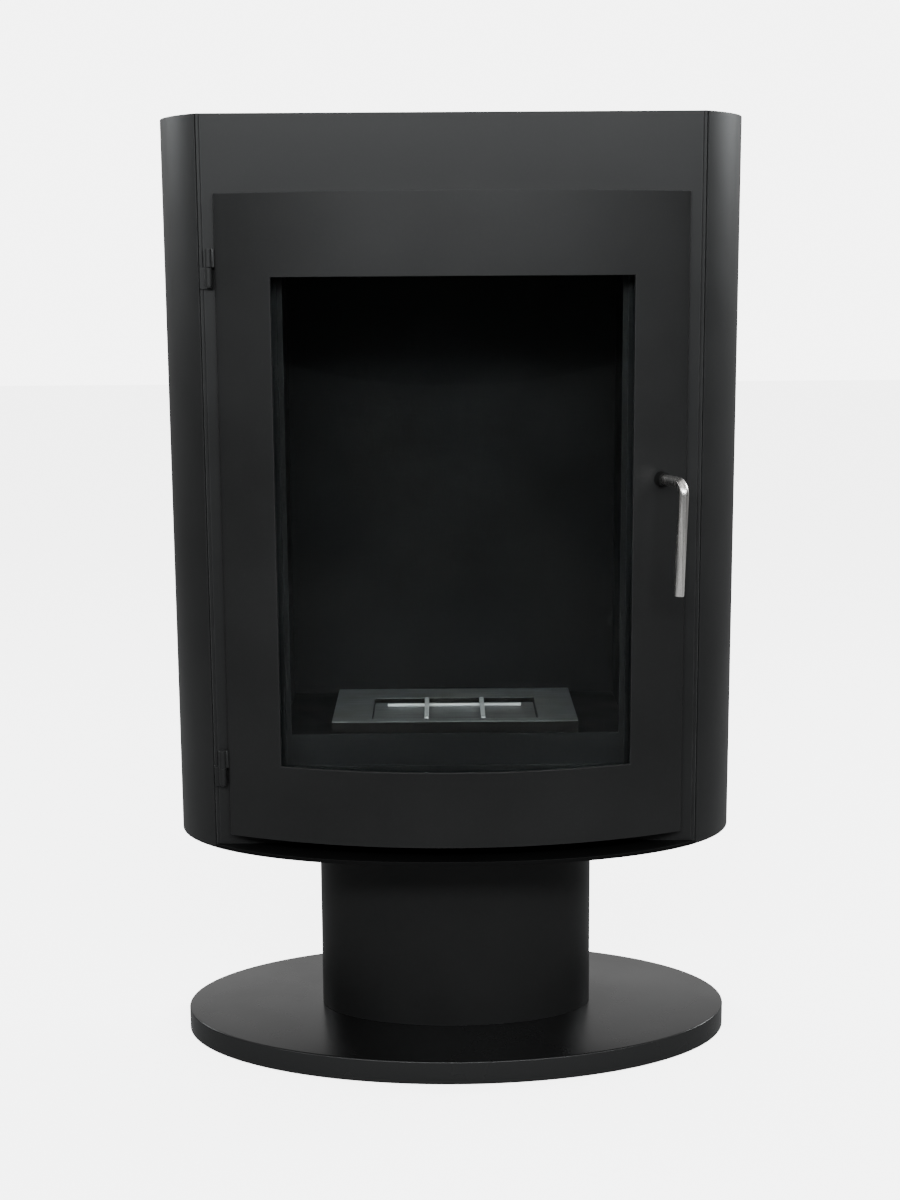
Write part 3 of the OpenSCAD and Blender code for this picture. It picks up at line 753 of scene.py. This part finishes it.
def ontoDoor(mesh, look):
    # pieces are made straight out along -Y from the bow's axis, then turned to their place
    turned = Matrix.Rotation(math.radians(look["turn"]), 4, "Z")
    place = Matrix.Translation((0, bow["axisY"], doorHeightOfHandle())) @ turned
    bmesh.ops.transform(mesh, matrix=place, verts=mesh.verts)


def makeHandleBar(look):
    lean = math.radians(look["lean"])
    reachDown = doorHeightOfHandle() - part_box("handle_bar")[0].z
    drop = (reachDown - look["radius"] * math.sin(lean)) / math.cos(lean)
    mesh = bmesh.new()
    inner = bow["radius"] - look["behindDoor"]
    outer = bow["radius"] + look["reach"] - look["bend"]
    made = bmesh.ops.create_circle(mesh, cap_ends=False, segments=look["sides"], radius=look["threadRadius"])
    turnAbout(mesh, "X", 90, made["verts"])
    bmesh.ops.translate(mesh, vec=(0, look["threadLength"] - inner, 0), verts=made["verts"])
    loop = extrudeEdges(mesh, mesh.edges[:], (0, -look["threadLength"], 0))
    loop = extrudeEdges(mesh, loop, (0, 0, 0))
    shoulder = list({vert for edge in loop for vert in edge.verts})
    wider = look["radius"] / look["threadRadius"]
    bmesh.ops.scale(mesh, vec=(wider, 1, wider), verts=shoulder)
    loop = extrudeEdges(mesh, loop, (0, inner - outer, 0))
    tip = loop + list({vert for edge in loop for vert in edge.verts})
    swept = bmesh.ops.spin(mesh, geom=tip, cent=(0, -outer, -look["bend"]), axis=(1, 0, 0),
                           angle=math.pi / 2, steps=look["bendSteps"], use_merge=False, use_duplicate=False)
    loop = ofKind(swept["geom_last"], bmesh.types.BMEdge)
    loop = extrudeEdges(mesh, loop, (0, 0, look["bend"] - drop))
    closeEnds(mesh)
    roundEdges(mesh, loop, look["endRounding"])
    turnAbout(mesh, "Y", look["lean"], mesh.verts)
    ontoDoor(mesh, look)
    keepPiece("handleBar", mesh, ["handle_bar"], look)


escutcheonLook = {
    "turn": handleLook["turn"],
    "rounding": 0.0003,
    "segments": 2,
    "turns": 64,
    "bore": 0.00506,
    "boss": (0.0078, 0.0068, 0.008),  # radius at the door, radius at its end, height
    "sunk": 0.0001,  # how far the boss reaches behind the door's face
    "tube": (0.0059, 0.017),  # radius and depth behind the door's face
}


def makeEscutcheon(look):
    wide, narrow, height = look["boss"]
    tube, depth = look["tube"]
    profile = ((look["bore"], -depth), (look["bore"], height), (narrow, height), (wide, 0),
               (wide, -look["sunk"]), (tube, -look["sunk"]), (tube, -depth))
    mesh = bmesh.new()
    points = [mesh.verts.new((radius, -bow["radius"] - out, 0)) for radius, out in profile]
    edges = [mesh.edges.new(pair) for pair in zip(points, points[1:] + points[:1])]
    bmesh.ops.spin(mesh, geom=points + edges, cent=(0, 0, 0), axis=(0, 1, 0), angle=2 * math.pi,
                   steps=look["turns"], use_merge=True, use_duplicate=False)
    ontoDoor(mesh, look)
    keepPiece("handleEscutcheon", mesh, ["handle_escutcheon"], look)


makeHandleBar(handleLook)
makeEscutcheon(escutcheonLook)
print("handle made")

# burner

plateLook = {
    "wall": 0.0015,
    "rounding": 0.0003,
    "segments": 2,
    "corner": 0.0008,
    "insideDepth": 0.05,  # how far under the plate a point is surely inside
}


def makeBurnerPlate(look):
    low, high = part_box("burner_top_plate")
    seatLow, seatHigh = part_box("lid_seat")
    inset = Vector((look["wall"], look["wall"], 0))
    mouthLow = seatLow + inset
    mouthHigh = seatHigh - inset
    mesh = bmesh.new()
    bmesh.ops.create_cube(mesh, size=1.0)
    bmesh.ops.scale(mesh, vec=high - low, verts=mesh.verts)
    bmesh.ops.translate(mesh, vec=(low + high) / 2, verts=mesh.verts)
    floor = [face for face in mesh.faces if face.normal.z < -meshing["levelNormal"]]
    bmesh.ops.delete(mesh, geom=floor, context="FACES")
    outside = [edge for edge in mesh.edges if not edge.is_boundary]
    roundEdges(mesh, outside, look["corner"])
    for x in (mouthLow.x, mouthHigh.x):
        cutAcross(mesh, (x, 0, 0), (1, 0, 0))
    for y in (mouthLow.y, mouthHigh.y):
        cutAcross(mesh, (0, y, 0), (0, 1, 0))
    waste = []
    for face in mesh.faces:
        middle = face.calc_center_median()
        inMouth = mouthLow.x < middle.x < mouthHigh.x and mouthLow.y < middle.y < mouthHigh.y
        if inMouth and face.normal.z > meshing["levelNormal"]:
            waste.append(face)
    bmesh.ops.delete(mesh, geom=waste, context="FACES")
    inside = (low + high) / 2 - Vector((0, 0, look["insideDepth"]))
    keepPiece("burnerTopPlate", mesh, ["burner_top_plate"], look, inside=inside)


strapLook = {"rounding": 0.0010, "segments": 4, "foot": 0.003, "thickness": 0.0022, "width": 0.0046}


def makeStraps(look):
    low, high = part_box("lid_straps")
    mesh = bmesh.new()
    under = high.z - look["thickness"]
    profile = [(low.y, low.z), (low.y, high.z), (high.y, high.z), (high.y, low.z),
               (high.y - look["foot"], low.z), (high.y - look["foot"], under),
               (low.y + look["foot"], under), (low.y + look["foot"], low.z)]
    for left in (low.x, high.x - look["width"]):
        side = mesh.faces.new([mesh.verts.new((left, y, z)) for y, z in profile])
        made = bmesh.ops.extrude_face_region(mesh, geom=[side], use_keep_orig=True)["geom"]
        bmesh.ops.translate(mesh, vec=(look["width"], 0, 0), verts=ofKind(made, bmesh.types.BMVert))
    keepPiece("lidStraps", mesh, ["lid_straps"], look)


rodLook = {"sides": 40, "endRounding": 0.0005, "endSegments": 3}


def makeLidRod(look):
    low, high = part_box("lid_rod")
    mesh = bmesh.new()
    radius = (high.z - low.z) / 2
    bmesh.ops.create_cone(mesh, cap_ends=True, segments=look["sides"], radius1=radius, radius2=radius,
                          depth=high.x - low.x)
    rims = []
    for edge in mesh.edges:
        first, second = edge.verts
        if abs(first.co.z - second.co.z) < meshing["sameWithin"]:
            rims.append(edge)
    roundEdges(mesh, rims, look["endRounding"], segments=look["endSegments"])
    turnAbout(mesh, "Y", 90, mesh.verts)
    bmesh.ops.translate(mesh, vec=(low + high) / 2, verts=mesh.verts)
    keepPiece("lidRod", mesh, ["lid_rod"], look)


makeBurnerPlate(plateLook)
makeStraps(strapLook)
makeLidRod(rodLook)
print("burner made")

# cut and turned pieces whose shape is right already, copied to round their edges

roundings = {
    0.0008: ("wick_block", "floor_pad", "ballast_slab"),
    0.0005: (
        "body_floor", "top_plate", "back_panel", "door_top_cap", "door_bottom_cap", "door_inner_frame",
        "firebox_left_wall", "firebox_right_wall", "firebox_back", "firebox_roof", "heat_deflector",
        "rear_heat_shield", "burner_shelf", "shelf_angles", "back_rails", "pedestal_head_flange",
        "pedestal_foot_flange", "latch_keeper", "base_underplate",
    ),
    0.0003: (
        "hinge_leaves", "hinge_pins", "door_knuckles", "latch_cam", "cam_nut", "glass_clips", "clip_screws",
        "back_screws", "column_bolts", "column_nuts", "base_nuts", "base_studs", "fuel_tank", "lid_seat",
        "burner_lid", "deflector_spacers", "shield_spacers", "door_seal", "glass_gasket",
    ),
    0.0002: ("wick_screen",),
}
# the body floor takes the painted-shade coat
otherFinish = {"burner_lid": "lid", "body_floor": "underside"}


def camelName(node):
    first, *others = node.split("_")
    return first + "".join(word.capitalize() for word in others)


def copyRounded(node, rounding):
    mesh = bmesh.new()
    mesh.from_mesh(nodes[node].data)
    bmesh.ops.remove_doubles(mesh, verts=mesh.verts, dist=meshing["mergeWithin"])
    flat = math.radians(meshing["flatAngle"])
    bmesh.ops.dissolve_limit(mesh, angle_limit=flat, verts=mesh.verts, edges=mesh.edges)
    look = {"rounding": rounding, "segments": 2, "finish": otherFinish.get(node, slotOfNode[node])}
    keepPiece(camelName(node), mesh, [node], look)


for rounding, names in roundings.items():
    for nodeName in names:
        copyRounded(nodeName, rounding)
print("other pieces rounded")
